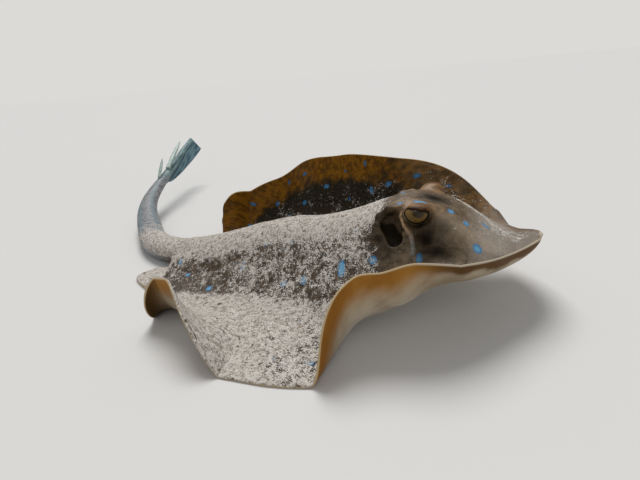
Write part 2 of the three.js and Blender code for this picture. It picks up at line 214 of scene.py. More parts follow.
class PlanDistance:
    """Signed distance to a closed outline in plan, negative inside, kept on a 1 mm lattice."""

    def __init__(self, outline, low, high):
        self.low = low
        x, y = np.meshgrid(*(np.arange(a, b + 1.0) for a, b in zip(low, high)), indexing="ij")
        best = np.full(x.shape, 1e9)
        inside = np.zeros(x.shape, bool)
        for (ax, ay), (bx, by) in zip(outline, np.roll(outline, -1, 0)):
            dx, dy = bx - ax, by - ay
            t = np.clip(((x - ax) * dx + (y - ay) * dy) / max(dx * dx + dy * dy, 1e-12), 0, 1)
            best = np.minimum(best, (x - ax - t * dx) ** 2 + (y - ay - t * dy) ** 2)
            if ay != by:
                crosses = (ay > y) != (by > y)
                inside ^= crosses & (x < ax + dx * (y - ay) / dy)
        self.grid = np.where(inside, -1, 1) * np.sqrt(best)

    def at(self, x, y):
        nx, ny = self.grid.shape
        fx = np.clip(x - self.low[0], 0, nx - 1.001)
        fy = np.clip(y - self.low[1], 0, ny - 1.001)
        i, j = fx.astype(int), fy.astype(int)
        s, t = fx - i, fy - j
        g = self.grid
        near = g[i, j] * (1 - t) + g[i, j + 1] * t
        far = g[i + 1, j] * (1 - t) + g[i + 1, j + 1] * t
        return near * (1 - s) + far * s


def disc_outline():
    x = REAR_X + (SNOUT_X - REAR_X) * (1 - np.cos(np.linspace(0, np.pi, 181))) / 2
    w = half_width(x)
    return np.concatenate([np.stack([x, w], 1), np.stack([x, -w], 1)[-2:0:-1]])


def pelvic_outline():
    """The left pelvic fin in plan, from inside the disc's rear edge."""
    y = np.linspace(PELVIC_FROM, PELVIC_TO, 25)
    t = (y - PELVIC_FROM) / (PELVIC_TO - PELVIC_FROM)
    front = WIDEST_X - (WIDEST_X - REAR_X) * (1 - (y / HALF_WIDTH) ** (1 / REAR_POINT)) ** (1 / REAR_ROUND)
    reach = PELVIC_LENGTH * (0.12 + 0.88 * np.sin(np.pi * np.clip(0.08 + 0.86 * (1 - t), 0, 1)) ** 0.8)
    return np.concatenate([np.stack([front + 4, y], 1), np.stack([front - reach, y], 1)[::-1]])


DISC = PlanDistance(disc_outline(), (-200, -150), (175, 150))
PELVIC = PlanDistance(pelvic_outline(), (-215, 0), (-100, 75))


# ---------- the bend ----------
SPINE_STEP = 0.4
spine_x = np.arange(REAR_X - 40, SNOUT_X + 10, SPINE_STEP)
spine_angle = bends(SPINE, spine_x)
step_angle = (spine_angle[1:] + spine_angle[:-1]) / 2
spine_px = REAR_X - 40 + np.concatenate([[0], np.cumsum(np.cos(step_angle) * SPINE_STEP)])
spine_pz = np.concatenate([[0], np.cumsum(np.sin(step_angle) * SPINE_STEP)])


def spine_at(x):
    """The bent spine's place along and up, and its angle, where it is x along the flat disc."""
    return tuple(np.interp(x, spine_x, values) for values in (spine_px, spine_pz, spine_angle))


def on_floor(z):
    """What would sink under the floor lies flat on it, with a short round-over between."""
    return np.where(z <= -SINK, 0, np.where(z >= SINK, z, (z + SINK) ** 2 / (4 * SINK)))


def underside(x, y, steps=32):
    """The bent place of a point on the flat disc's underside, with each fin's bend summed in steps."""
    right = y < 0
    ay = np.abs(y)
    w = np.maximum(half_width(x), 0.1)

    def pick(key, read=lambda value: value):
        return np.where(right, read(RIGHT_FIN[key]), read(LEFT_FIN[key]))

    root = np.minimum(pick("root"), 0.45 * w)
    span = np.maximum(ay - root, 0)
    inner = pick("inner", lambda items: bends(items, x))
    outer = pick("outer", lambda items: bends(items, x))
    inner_over, outer_from = pick("inner_over"), pick("outer_from")
    out = np.minimum(ay, root)
    up = np.zeros_like(out)
    for k in range(steps):
        q = span * (k + 0.5) / steps / (w - root)
        tip = ramp(q, outer_from, 1)
        angle = inner * ramp(q, 0, inner_over) * (1 - tip) + outer * tip
        out = out + np.cos(angle) * span / steps
        up = up + np.sin(angle) * span / steps
    px, pz, angle = spine_at(x)
    swept = pick("sweep") * ramp(ay, *SWEPT_ACROSS) * fall(x, *SWEPT_ALONG)
    forward = px - up * np.sin(angle) - swept + pick("moved", lambda items: shifts(items, x, ay))
    return np.stack([forward, np.where(right, -out, out), on_floor(pz - SINK + up * np.cos(angle))], -1)


def place_disc(x, y, h):
    """Heights are square to the skin in a thin fin, and along the spine's own up in a thick body."""
    e = 0.1
    x = np.maximum(x, REAR_X - 38)  # further back there is only the tail, which has its own line
    along = underside(x + e, y) - underside(x - e, y)
    across = underside(x, y + e) - underside(x, y - e)
    normal = unit(np.cross(along, across))
    square = FIN_DEPTH * (1 - np.exp(-h / FIN_DEPTH))
    angle = spine_at(x)[2]
    up = np.stack([-np.sin(angle), 0 * angle, np.cos(angle)], -1)
    return underside(x, y) + normal * square[..., None] + up * (h - square)[..., None]


# ---------- the tail's line ----------
TAIL_STEP = 0.5
TAIL_BEFORE = 50.0  # how far forward of its root the line is carried on, inside the body


def tail_line(s):
    """The middle of the tail at the stations s, and its directions across and up."""
    turn, climb, twist = bends(TAIL_TURN, np.maximum(s, 0)), bends(TAIL_CLIMB, s), bends(TAIL_TWIST, s)
    cos, sin = np.cos(twist)[:, None], np.sin(twist)[:, None]
    along = np.stack([-np.cos(turn) * np.cos(climb), np.sin(turn) * np.cos(climb), np.sin(climb)], 1)
    side = unit(np.cross([0, 0, 1], along))
    back = np.cross(along, side)
    centre = np.cumsum(along * TAIL_STEP, 0)
    centre += (TAIL_X, TAIL_Y, 0) - centre[np.searchsorted(s, 0)]
    centre[:, 2] += on_tail(TAIL_HALF_HIGH, np.minimum(s, 120)) - SINK * fall(s, 80, 160)
    return centre, side * cos + back * sin, back * cos - side * sin


tail_s = np.arange(-TAIL_BEFORE, TAIL_LENGTH + 8, TAIL_STEP)
TAIL_LINE = tail_line(tail_s)


def tail_frame(s):
    """Centre, across to the animal's right, and up of the tail's line at s."""
    return [np.stack([np.interp(s, tail_s, part[:, k]) for k in range(3)], -1) for part in TAIL_LINE]


def tail_height(s):
    """Height of the flat tail's middle, raised behind so that the fold under it is clear of h = 0."""
    return on_tail(TAIL_HALF_HIGH, s) + 21 * ramp(s, 150, 252)


def place(x, y, h):
    """The bent place of a point of the flat animal; behind the disc it passes over to the tail's line."""
    p = place_disc(x, y, h)
    c = y - TAIL_Y
    part = ramp(-x, 132, 168) * fall(np.abs(c), 18, 30)
    s = TAIL_X - x
    centre, across, up = tail_frame(s)
    t = centre - across * c[..., None] + up * (h - tail_height(s))[..., None]
    t[..., 2] = on_floor(t[..., 2])
    return p + (t - p) * part[..., None]


# ---------- the eye's own frame: along, out and up from the eyeball's middle ----------
eye_spine_x, eye_spine_z, EYE_PITCH = spine_at(EYE_X)
EYE_AT_X = eye_spine_x - math.sin(EYE_PITCH) * EYE_H
EYE_AT_Z = eye_spine_z + math.cos(EYE_PITCH) * EYE_H


def from_eye(x, y, h):
    """Along, out and up from the nearer eyeball's middle, for points of the flat animal."""
    px, pz, angle = spine_at(x)
    dx = px - np.sin(angle) * h - EYE_AT_X
    dz = pz + np.cos(angle) * h - EYE_AT_Z
    along = dx * math.cos(EYE_PITCH) + dz * math.sin(EYE_PITCH)
    up = dz * math.cos(EYE_PITCH) - dx * math.sin(EYE_PITCH)
    return along, np.abs(y) - EYE_Y, up


GAZE = unit((0.22, 0.95, 0.20))
GAZE_RIGHT = unit((1, 0, 0) - GAZE[0] * GAZE)
GAZE_UP = np.cross(GAZE_RIGHT, GAZE)
LID_SLOPE = math.radians(-21.5)  # the upper lid falls towards the snout
LID_ALONG = math.cos(LID_SLOPE) * GAZE_RIGHT + math.sin(LID_SLOPE) * GAZE_UP
LID_UP = math.cos(LID_SLOPE) * GAZE_UP - math.sin(LID_SLOPE) * GAZE_RIGHT
LID_LINE = 3.8  # the upper lid's edge, over the middle of the eye
OPEN_A, OPEN_B, OPEN_LONG, OPEN_HIGH = -1.1, 2.2, 8.1, 7.4  # the rounded opening between the lids
EYE_GAP = 0.12  # between the eyeball and its room


def dot(q, v):
    return sum(a * b for a, b in zip(q, v))


def to_segment(q, a, b):
    """Distance from the points q to the segment from a to b, and how far along it they are."""
    d = [b[k] - a[k] for k in range(3)]
    r = [q[k] - a[k] for k in range(3)]
    t = np.clip(dot(r, d) / dot(d, d), 0, 1)
    return length3(*(r[k] - t * d[k] for k in range(3))), t


def near_line(q, ends):
    return to_segment(q, *ends)[0]


def on_head(x, y, over):
    """A point of the head's skin, raised by so much, in the eye's frame."""
    return from_eye(x, y, thickness(x, y) + over)


# The spiracle behind the eye: a hole in a bowl, with a crescent fold in front and a hood over it.
SPIRACLE = [on_head(74.9, 28.2, -1.0), on_head(77.9, 35.6, -1.5)]
BOWL = [on_head(74.5, 25.0, 4.2), on_head(80.0, 32.5, 4.2)]
FOLD_LINE = ((84.9, 22.2), (83.1, 26.4), (84.3, 31.2), (87.3, 35.2), (87.9, 39.6), (87.9, 44.6))
FOLD_POINTS = [on_head(x, y, -0.2) for x, y in FOLD_LINE]
HOOD_LINE = ((83.1, 21.3), (76.5, 20.1), (69.9, 22.1), (67.5, 27.5), (67.6, 32.5))
HOOD_POINTS = [on_head(x, y, 0.4) for x, y in HOOD_LINE]


def eye_distance(q):
    """Distance from the eyeball's middle, in units that make the eyeball a sphere."""
    return length3(q[0], q[1], q[2] * (EYE_R / EYE_HIGH))


def opening_ring(q):
    """1 on the outline of the opening between the lids, less inside it."""
    a, b = dot(q, LID_ALONG) - OPEN_A, dot(q, LID_UP) - OPEN_B
    return np.hypot(a / OPEN_LONG, b / OPEN_HIGH)


def head_forms(body, x, y, h):
    """The eyes with their lids, and the spiracles behind them."""
    q = from_eye(x, y, h)
    r = eye_distance(q)
    front = dot(q, GAZE)
    a, b = dot(q, LID_ALONG), dot(q, LID_UP)
    body = smooth_min(body, r - 10.3, 3.5)
    # the thick upper lid and the thin lower one
    lid_shell = bump(r, 10.7, 2.5) * ramp(front, 0, 4)
    body = body - 0.5 * bump(b, LID_LINE + 1.5, 1.4) * fall(np.abs(a), 8, 12) * lid_shell
    ring = opening_ring(q)
    body = body - 0.5 * bump(ring, 1.14, 0.10) * fall(b, 0, 3) * lid_shell
    # the spiracle
    body = carve(body, near_line(q, BOWL) - 7.2, 2.6)
    for ends in itertools.pairwise(HOOD_POINTS):
        body = smooth_min(body, near_line(q, ends) - 1.9, 4.0)
    for i, ends in enumerate(itertools.pairwise(FOLD_POINTS)):
        d, t = to_segment(q, *ends)
        body = smooth_min(body, d - (1.35 - 0.15 * (i + t)), 1.0)
    body = carve(body, near_line(q, SPIRACLE) - 5.3, 1.6)
    # the opening and the eyeball's room
    body = carve(body, most((ring - 1) * OPEN_HIGH, b - LID_LINE, 3 - front), 0.6)
    near_opening = most((ring - 1.3) * OPEN_HIGH, b - LID_LINE - 1.6, 2 - front)
    return carve(body, np.maximum(r - EYE_R - EYE_GAP, near_opening), 0.3)


# The openings on the belly, as lines from one end to the other.
MOUTH_X, MOUTH_HALF, MOUTH_BOW = 109.0, 11.0, 3.0
NOSTRIL = ((122.5, 14.0, 0), (118.5, 17.0, 0))
VENT = ((-140, 0, 0), (-131, 0, 0))
GILL_COUNT, GILL_FIRST, GILL_STEP = 5, (88.0, 34.0), (-10.5, -1.7)


def under_lines(x, y, h):
    """Distances to the lines of the mouth, the nearer nostril and the nearest gill slit."""
    ay = np.abs(y)
    mouth = length3(x - MOUTH_X + MOUTH_BOW * (ay / MOUTH_HALF) ** 2, np.maximum(ay - MOUTH_HALF, 0), h)
    nostril = near_line((x, ay, h), NOSTRIL)
    gills = []
    for i in range(GILL_COUNT):
        gx, gy = (GILL_FIRST[k] + GILL_STEP[k] * i for k in (0, 1))
        gills.append(near_line((x, ay, h), ((gx - 1.0, gy - 3.6, 0), (gx + 1.2, gy + 3.6, 0))))
    return mouth, nostril, np.minimum.reduce(gills)


def under_forms(body, x, y, h):
    """Mouth, nostrils with their curtain, and gill slits on the belly."""
    mouth, nostril, gill = under_lines(x, y, h)
    curtain = (length3((x - 116) / 6.5, y / 12.5, h / 1.3) - 1) * 1.3
    body = smooth_min(body, curtain, 1.2)
    body = carve(body, mouth - 1.3, 1.0)
    body = carve(body, nostril - 1.7, 1.0)
    return carve(body, gill - 0.95, 0.8)


RIDGE_FROM, RIDGE_HIGH = 320.0, 1.6  # a low keel on the rear of the tail


def tail_forms(x, y, h):
    """The tail, the fold of skin under its rear and the keel over it."""
    s = TAIL_X - x
    a, b = on_tail(TAIL_HALF_WIDE, s), on_tail(TAIL_HALF_HIGH, s)
    c, u = y - TAIL_Y, h - tail_height(s)
    ends = (np.maximum(s - TAIL_LENGTH + 2, 0) / 2) ** 2 + (np.maximum(-38 - s, 0) / 6) ** 2
    k0 = np.sqrt((c / a) ** 2 + (u / b) ** 2 + ends)
    k1 = np.sqrt((c / a**2) ** 2 + (u / b**2) ** 2) + 1e-6
    tail = k0 * (k0 - 1) / np.maximum(k1, 1 / np.maximum(a, b))
    top = b * 0.5
    grown = np.clip((s - FOLD_FROM) / (TAIL_LENGTH - 10 - FOLD_FROM), 0, 1)
    deep = b + 1.2 + FOLD_DEEP * grown**FOLD_GROW
    wave = 0.5 * np.sin(s / 9.0) * ramp(-u, 6, 18)
    fold = rounded(np.abs(c - wave) - 0.1, np.abs(u + (top + deep) / 2) - (deep - top) / 2 + 0.6, 0.6)
    fold = most(fold, FOLD_FROM - 6 - s, s - TAIL_LENGTH - 1.5)
    ridge = rounded(np.abs(c) - 0.1, u - b - RIDGE_HIGH * ramp(s, RIDGE_FROM, RIDGE_FROM + 20) + 0.5, 0.5)
    ridge = most(ridge, -u, RIDGE_FROM - 5 - s, s - TAIL_LENGTH)
    return smooth_min(smooth_min(tail, fold, 1.5), ridge, 1.2)


HEAD_FROM, UNDER_FROM, REAR_TO = 56, 36, -95  # x where the forms of the head, belly and rear are reckoned


def field(x, y, h):
    """Distance to the flat body's surface, negative inside. x, y and h broadcast."""
    t = thickness(x, y)
    e = 0.5  # the slopes are taken over 1 mm
    slope_x = thickness(x + e, y) - thickness(x - e, y)
    slope_y = thickness(x, y + e) - thickness(x, y - e)
    steep = np.sqrt(1 + slope_x**2 + slope_y**2)
    rim = EDGE / 2
    body = rounded(DISC.at(x, y) + rim, np.maximum((h - t) / steep, -h) + rim, rim)
    if np.max(x) > HEAD_FROM:
        body = np.where(x > HEAD_FROM, head_forms(body, x, y, h), body)
    if np.max(x) > UNDER_FROM:
        body = np.where(x > UNDER_FROM, under_forms(body, x, y, h), body)
    if np.min(x) < REAR_TO:
        thick = EDGE + 2.2 * ramp(x, -182, -150)
        lobe = rounded(PELVIC.at(x, np.abs(y)) + rim, np.maximum(h - thick, -h) + rim, rim)
        fillet = 7 - 5.5 * ramp(h, 12, 19)
        rear = smooth_min(smooth_min(body, lobe, 1.5), tail_forms(x, y, h), fillet)
        body = np.where(x < REAR_TO, carve(rear, near_line((x, y, h), VENT) - 1.2, 1.0), body)
    return body


# ---------- the skin ----------
def axis(*stretches):
    """Stations from the first number on, for (end, step) pairs."""
    out = [stretches[0]]
    for end, step in stretches[1:]:
        n = max(1, round((end - out[-1]) / step))
        out += list(np.linspace(out[-1], end, n + 1)[1:])
    return np.array(out)


def surface_nets(grid, f):
    """Vertices and outward quads of the zero level of f on a grid of uneven stations."""
    inside = f < 0
    shape = tuple(n - 1 for n in f.shape)
    count = np.zeros(shape, np.int8)
    for corner in itertools.product((0, 1), repeat=3):
        count += inside[tuple(slice(k, n + k) for k, n in zip(corner, shape))]
    cells = np.argwhere((count > 0) & (count < 8))
    number = np.full(shape, -1, np.int32)
    number[tuple(cells.T)] = np.arange(len(cells))
    total = np.zeros((len(cells), 3))
    hits = np.zeros(len(cells))
    side = np.eye(3, dtype=int)
    quads = []
    for ax in range(3):
        u, v = [a for a in range(3) if a != ax]
        for du, dv in itertools.product((0, 1), repeat=2):
            start = cells + du * side[u] + dv * side[v]
            end = start + side[ax]
            fa, fb = f[tuple(start.T)], f[tuple(end.T)]
            cut = (fa < 0) != (fb < 0)
            pa, pb = (np.stack([grid[d][at[cut, d]] for d in range(3)], 1) for at in (start, end))
            t = (fa[cut] / (fa[cut] - fb[cut]))[:, None]
            total[cut] += pa + (pb - pa) * t
            hits[cut] += 1
        low, high = [slice(1, -1)] * 3, [slice(1, -1)] * 3
        low[ax], high[ax] = slice(0, -1), slice(1, None)
        first, second = inside[tuple(low)], inside[tuple(high)]
        edges = np.argwhere(first != second)
        outwards = first[tuple(edges.T)]
        shifts_round = ((0, 0), (1, 0), (1, 1), (0, 1))
        corners = [edges + du * side[u] + dv * side[v] for du, dv in shifts_round]
        quad = np.stack([number[tuple(at.T)] for at in corners], 1)
        flip = outwards == (ax == 1)
        quad[flip] = quad[flip][:, ::-1]
        quads.append(quad)
    return total / hits[:, None], np.concatenate(quads)


def settle(points, passes=2):
    """Moves points onto the zero level, along its slope."""
    e = 0.05
    for _ in range(passes):
        head, rear = points[:, 0] > HEAD_FROM, points[:, 0] <= REAR_TO
        for part in (head, ~head & ~rear, rear):
            x, y, h = points[part].T
            f = field(x, y, h)
            ahead = [field(x + e, y, h), field(x, y + e, h), field(x, y, h + e)]
            slope = (np.stack(ahead, 1) - f[:, None]) / e
            size = np.maximum((slope**2).sum(1), 0.2)
            step = slope * (f / size)[:, None]
            far = np.maximum(np.linalg.norm(step, axis=1, keepdims=True) / 0.5, 1)
            points[part] -= step / far
    return points


def draw_body():
    """The flat body's skin, as points and quads; its stations are closest on the head."""
    rough = 1.0
    head_steps = [(72, 0.75 * rough), (114, 0.5 * rough), (130, 0.75 * rough), (167, 0.9 * rough)]
    xs = axis(-560.0, (-185, 1.5 * rough), (44, 1.5 * rough), *head_steps)
    ys = axis(-142.0, (-50, 1.4 * rough), (50, 0.65 * rough), (142, 1.4 * rough))
    zs = axis(-2.5, (-0.4, 0.7), (3.2, 0.4), (9, 0.6 * rough), (64, 0.65 * rough))
    f = np.full((len(xs), len(ys), len(zs)), 9.0, np.float32)
    narrow = np.flatnonzero(np.abs(ys - TAIL_Y) < 24)
    for i in range(0, len(xs), 24):
        x = xs[i : i + 24, None, None]
        band = slice(narrow[0], narrow[-1] + 1) if x.max() < -200 else slice(None)
        f[i : i + 24, band] = field(x, ys[None, band, None], zs[None, None, :])
    points, quads = surface_nets((xs, ys, zs), f)
    return settle(points), quads


def faces_of(points, quads):
    """Each quad's normal, as long as twice its area."""
    corners = points[quads]
    return np.cross(corners[:, 2] - corners[:, 0], corners[:, 3] - corners[:, 1])


def vertex_normals(points, quads):
    """Outward normals of the corners, of length 1."""
    face = faces_of(points, quads)
    total = np.zeros_like(points)
    for k, d in itertools.product(range(4), range(3)):
        total[:, d] += np.bincount(quads[:, k], face[:, d], len(points))
    return total / np.maximum(np.linalg.norm(total, axis=1, keepdims=True), 1e-12)


def stand(name, data, matrix=Matrix()):
    """Puts a mesh, a lamp or the camera in the scene."""
    made = bpy.data.objects.new(name, data)
    made.matrix_world = matrix
    bpy.context.scene.collection.objects.link(made)
    return made


def make_piece(name, points, faces, material):
    """A smooth mesh from points of the bent animal, in metres from its belly's rear on the floor."""
    mesh = bpy.data.meshes.new(name)
    mesh.from_pydata((points - (BELLY_X, 0, 0)) * MM, [], faces)
    mesh.shade_smooth()
    mesh.validate()
    mesh.materials.append(material)
    piece = stand(name, mesh)
    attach(piece, "root")
    return piece


def give(piece, name, values):
    """Keeps three numbers a point on the mesh, for its material."""
    layer = piece.data.attributes.new(name, "FLOAT_VECTOR", "POINT")
    layer.data.foreach_set("vector", np.asarray(values, np.float32).ravel())


# ---------- marks on the skin ----------
# The mesh keeps three masks to each attribute, for the skin's material.
MASKS = {
    "zones": ("fin", "head", "belly"),
    "marks": ("sand", "dark", "gold"),
    "edges": ("spot", "inwards", "stripe"),
    "rear": ("tail", "flap", "amber"),
    "folds": ("fold", "ridge", "fold_low"),
}
# Blue spots where they show best, [x, y, radius] on the flat disc; the rest are strewn between them.
SPOTS = [
    (92.7, -15.4, 2.6), (80.7, 6, 2), (82.5, -17.5, 1.8), (107.7, -14.5, 2.2), (116.5, -18, 2),
    (125, 20, 2), (127.5, -4, 2.2), (123.3, -33.3, 2.8), (91.5, -47.5, 2.4), (62, -45, 2.8),
    (36.5, -46, 4.2), (2.7, -49.5, 2.8), (-14.7, -52.5, 2.6), (49.5, -24.5, 2.4), (-85, -54, 2.8),
    (-23, 111, 3), (-49, 96, 2.8), (36, 100, 3.2), (55.5, 100, 2.8), (-88, 102, 2.4),
    (4.5, -118, 3), (15, -121, 2.6), (29, -115, 2.8),
]
SPOT_GAP, SPOT_TRIES = 17.0, 1600


def strew_spots():
    """The listed spots, and small ones between them that keep apart and off the eyes and the edge."""
    rng = np.random.default_rng(7)
    spots = list(SPOTS)
    for _ in range(SPOT_TRIES):
        x, y = rng.uniform(REAR_X, SNOUT_X - 26), rng.uniform(-HALF_WIDTH, HALF_WIDTH)
        radius = rng.uniform(1.5, 3.0) * (1 - 0.25 * ramp(x, 60, 150))
        on_disc = DISC.at(x, y) < -7
        off_eyes = math.hypot(x - EYE_X + 3, abs(y) - EYE_Y - 3) > 20
        apart = all(math.hypot(x - a, y - b) > SPOT_GAP + 2 * r for a, b, r in spots)
        if on_disc and off_eyes and apart:
            spots.append((x, y, radius))
    return spots


def spot_distance(flat):
    """Millimetres from the edge of the nearest spot, negative inside it."""
    best = np.full(len(flat), 20.0)
    for x, y, radius in strew_spots():
        near = np.flatnonzero((np.abs(flat[:, 0] - x) < 14) & (np.abs(flat[:, 1] - y) < 14))
        top = thickness(x, y)
        lean = 1.0 + 0.25 * math.sin(3.1 * x + y)
        below = np.minimum(flat[near, 2] - top + 1.5, 0)
        d = length3((flat[near, 0] - x) / lean, (flat[near, 1] - y) * lean, below) - radius
        best[near] = np.minimum(best[near], d)
    return best


def sand_cover(x, y):
    """How much sand lies on the upper side, 0 to 1, before the slope of the skin is counted."""
    ay = np.abs(y)
    rear = ramp(-x, 40, 150)
    ridge = (0.92 - 0.20 * rear) * fall(ay, 14, 44)
    flank = (0.50 - 0.09 * bump(x, -95, 34)) * fall(ay, 54, 80) * (y < 50)
    right = (0.82 - 0.20 * ramp(x, -26, 24) - 0.14 * ramp(x, 30, 60)) * ramp(-y, 42, 72)
    left = (0.39 - 0.20 * rear) * ramp(y, 44, 60) * (1 - 0.45 * ramp(y, 96, 124))
    lobes = 0.78 * ramp(-x, 138, 150) * fall(ay, 54, 64)
    streak = 0.82 * bump(y, 22 - 0.42 * (x - 107), 7) * ramp(x, 98, 106) * fall(x, 138, 150)
    snout, far_side = mound(x, y, 0.58, 138, 24, 8, 20), mound(x, y, 0.44, 100, 16, 74, 18)
    back = most(ridge, flank, right, left) * fall(x, 58, 88)
    return most(back, lobes, streak, snout, far_side, 0.30 * ramp(x, 58, 88))


# Dark below and before the eye and below the spiracle (dark skin with painted shade), and painted shade
# between the eyes, as mounds of the mask.
DARK_CHEEK = [(1, 95, 9, 37, 8), (1, 102, 15, 44, 9), (0.7, 103, 7, 31, 7), (0.7, 74, 15, 37, 13)]
PAINTED_SHADE_BETWEEN = (0.95, 98, 9, 0, 11)


def head_marks(x, y, h):
    """Where the head is dark, as painted shade in its hollows and partly on the cheeks, golden, has the
    spiracle's pale fold and the pale ridge before the eye.
    """
    ay = np.abs(y)
    q = from_eye(x, y, h)
    r = eye_distance(q)
    b, front = dot(q, LID_UP), dot(q, GAZE)
    lids = bump(r, 10.5, 3.2) * ramp(b, 2.5, 4.2) * ramp(front, -8, 2)
    crown = mound(x, ay, 0.6, 94, 14, 20, 9) * ramp(h, 34, 42)
    gold = np.clip(np.maximum(lids, crown), 0, 1)
    from_fold = [near_line(q, ends) for ends in itertools.pairwise(FOLD_POINTS)]
    fold = fall(np.minimum.reduce(from_fold), 0.9, 1.9)
    # painted shade: the spiracle's hole and bowl, the hollow between the eyes and the eyeball's room inside
    # the lids; the cheeks are dark skin with painted shade
    hole = fall(near_line(q, SPIRACLE), 5.0, 6.6)
    bowl = 0.60 * fall(near_line(q, BOWL), 7.0, 9.5) * (1 - fold)
    cheek = 0.94 * most(*(mound(x, ay, *place) for place in DARK_CHEEK)) * ramp(h, 8, 20)
    between = mound(x, ay, *PAINTED_SHADE_BETWEEN)
    inside_lids = 0.9 * fall(r, 9.65, 10.1) * fall(opening_ring(q), 1.0, 1.12) * (front > 3)
    dark = most(hole, bowl, cheek, between, inside_lids) * (x > HEAD_FROM) * (1 - 0.9 * fold)
    ridge = bump(ay, CANTHUS_Y, CANTHUS_WIDE) * ramp(x, 98, 106) * fall(x, 126, 144) * ramp(h, 8, 16)
    return dark, gold, fold, ridge


def under_slots(x, y, h):
    """Painted shade inside the mouth, the nostrils, the gill slits and the vent."""
    mouth, nostril, gill = under_lines(x, y, h)
    vent = near_line((x, y, h), VENT)
    return most(fall(mouth, 1.1, 1.5), fall(nostril, 1.3, 1.9), fall(gill, 0.7, 1.2), fall(vent, 0.9, 1.4))


def skin_marks(flat, normal):
    """The masks, by name: where each colour of the skin lies."""
    x, y, h = flat.T
    ay = np.abs(y)
    inwards = -np.minimum(DISC.at(x, y), PELVIC.at(x, ay))
    s = TAIL_X - x
    beside = np.abs(y - TAIL_Y)
    tail = ramp(s, -4, 34) * fall(beside, 18, 24)
    behind = ramp(s, -20, -8) * fall(beside, 19, 26)
    root = behind * ramp(h, 1.5, 4)
    upper = most(ramp(h - thickness(x, y) / 2, -0.4, 0.4), tail, root)
    fin = ramp(ay / np.maximum(half_width(x), 1), 0.42, 0.72) * (1 - behind) * fall(s, -12, 4)
    head = ramp(x, 58, 88) * (1 - 0.55 * fin)
    dark, gold, fold, ridge = head_marks(x, y, h)
    dark = np.clip(np.maximum(dark, under_slots(x, y, h)), 0, 1)
    fading = 1 - 0.75 * ramp(s, 30, 110) * (beside < 26)
    sand = sand_cover(x, y) * ramp(normal[:, 2], -0.15, 0.55) * (1 - 0.7 * gold) * (1 - 0.6 * dark) * fading
    thinning = (0.76 - 0.44 * np.clip((s - 16) / 100, 0, 1)) * fall(s, 100, 140)
    banked = thinning * ramp(s, -30, -8) * fall(beside, 20, 27) * ramp(normal[:, 2], -0.5, 0.3)
    sand = upper * np.maximum(sand, banked)
    stripe = tail * bump(beside / on_tail(TAIL_HALF_WIDE, s), 0.62, 0.2) * fall(s, 300, 330)
    flap = ramp(-h + tail_height(s) - on_tail(TAIL_HALF_HIGH, s), 0.5, 2.5) * (s > FOLD_FROM - 8)
    # amber by the fins' edges is their own colour; its full strength on the left fin, and at that fin's
    # rear corner, is painted light glowing through the fin
    amber = np.maximum(fall(inwards, 12, 36), ramp(-x, 78, 112) * ramp(y, 80, 116)) * (1 - behind)
    amber = amber * (0.25 + 0.75 * ramp(y, -20, 20)) * (1 - 0.4 * ramp(x, 24, 70))
    inwards = np.maximum(inwards, 30 * np.maximum(tail, root))
    return dict(
        fin=fin, head=head, belly=1 - upper, sand=sand, dark=dark, gold=gold, spot=spot_distance(flat),
        inwards=inwards, stripe=stripe, tail=tail, flap=flap, amber=amber, fold=fold, ridge=ridge,
        fold_low=ramp(ay, 29, 42),
    )


# ---------- materials ----------
def rgb(r, g, b):
    """A colour as written for a screen, 0 to 255, in the linear values that a shader takes."""
    linear = [c / 255 / 12.92 if c <= 10 else ((c / 255 + 0.055) / 1.055) ** 2.4 for c in (r, g, b)]
    return (*linear, 1.0)


class Look:
    """The nodes of a material or world, with shorthands for the sums that its colours are made of."""

    def __init__(self, name, kind="materials"):
        self.owner = getattr(bpy.data, kind).new(name)
        self.owner.use_nodes = True
        self.tree = self.owner.node_tree

    def put(self, socket, value):
        if isinstance(value, bpy.types.NodeSocket):
            self.tree.links.new(value, socket)
        else:
            socket.default_value = value

    def node(self, kind, inputs, out=0, **settings):
        made = self.tree.nodes.new("ShaderNode" + kind)
        for key, value in settings.items():
            setattr(made, key, value)
        for key, value in inputs.items():
            self.put(made.inputs[key], value)
        return made.outputs[out]

    def attribute(self, name):
        return self.node("Attribute", {}, 1, attribute_name=name)

    def parts(self, vector):
        return self.node("SeparateXYZ", {0: vector}, slice(3))

    def sum(self, operation, a, b=0.0):
        return self.node("Math", {0: a, 1: b}, operation=operation)

    plus = functools.partialmethod(sum, "ADD")
    less = functools.partialmethod(sum, "SUBTRACT")
    times = functools.partialmethod(sum, "MULTIPLY")

    def step(self, value, low, high):
        return self.node("MapRange", {0: value, 1: low, 2: high}, interpolation_type="SMOOTHSTEP")

    def mix(self, part, a, b):
        return self.node("Mix", {0: part, 6: a, 7: b}, 2, data_type="RGBA")

    def tones(self, value, low, high, dark, light):
        """A colour between a dark and a light one, turning where the value lies between low and high."""
        return self.mix(self.step(value, low, high), rgb(*dark), rgb(*light))

    def lay(self, under, colour, part, strength):
        """A colour laid over another, so strongly where part is 1."""
        return self.mix(self.times(part, strength), under, rgb(*colour))

    def noise(self, vector, size, detail, rough):
        inputs = {"Vector": vector, "Scale": 1 / size, "Detail": detail, "Roughness": rough}
        return self.node("TexNoise", inputs)

    def finish(self, relief=None, depth=0.0, strength=0.0, **inputs):
        """The material, with what is put on its shader's sockets and a relief as bumps of that depth."""
        if relief is not None:
            settings = {"Height": relief, "Strength": strength, "Distance": depth}
            inputs["Normal"] = self.node("Bump", settings)
        shader = self.tree.nodes["Principled BSDF"]
        for key, value in inputs.items():
            self.put(shader.inputs[key.replace("_", " ")], value)
        return self.owner


# The skin's noises: size in millimetres, detail and roughness.
NOISES = {
    "cloud": (26, 3, 0.55), "patch": (13, 3, 0.6), "mottle": (5, 4, 0.6),
    "clump": (3.4, 3, 0.6), "speck": (1.6, 2, 0.6), "grain": (0.8, 1, 0.5),
    "pits": (2, 3, 0.7), "debris": (4.6, 2, 0.5),
}


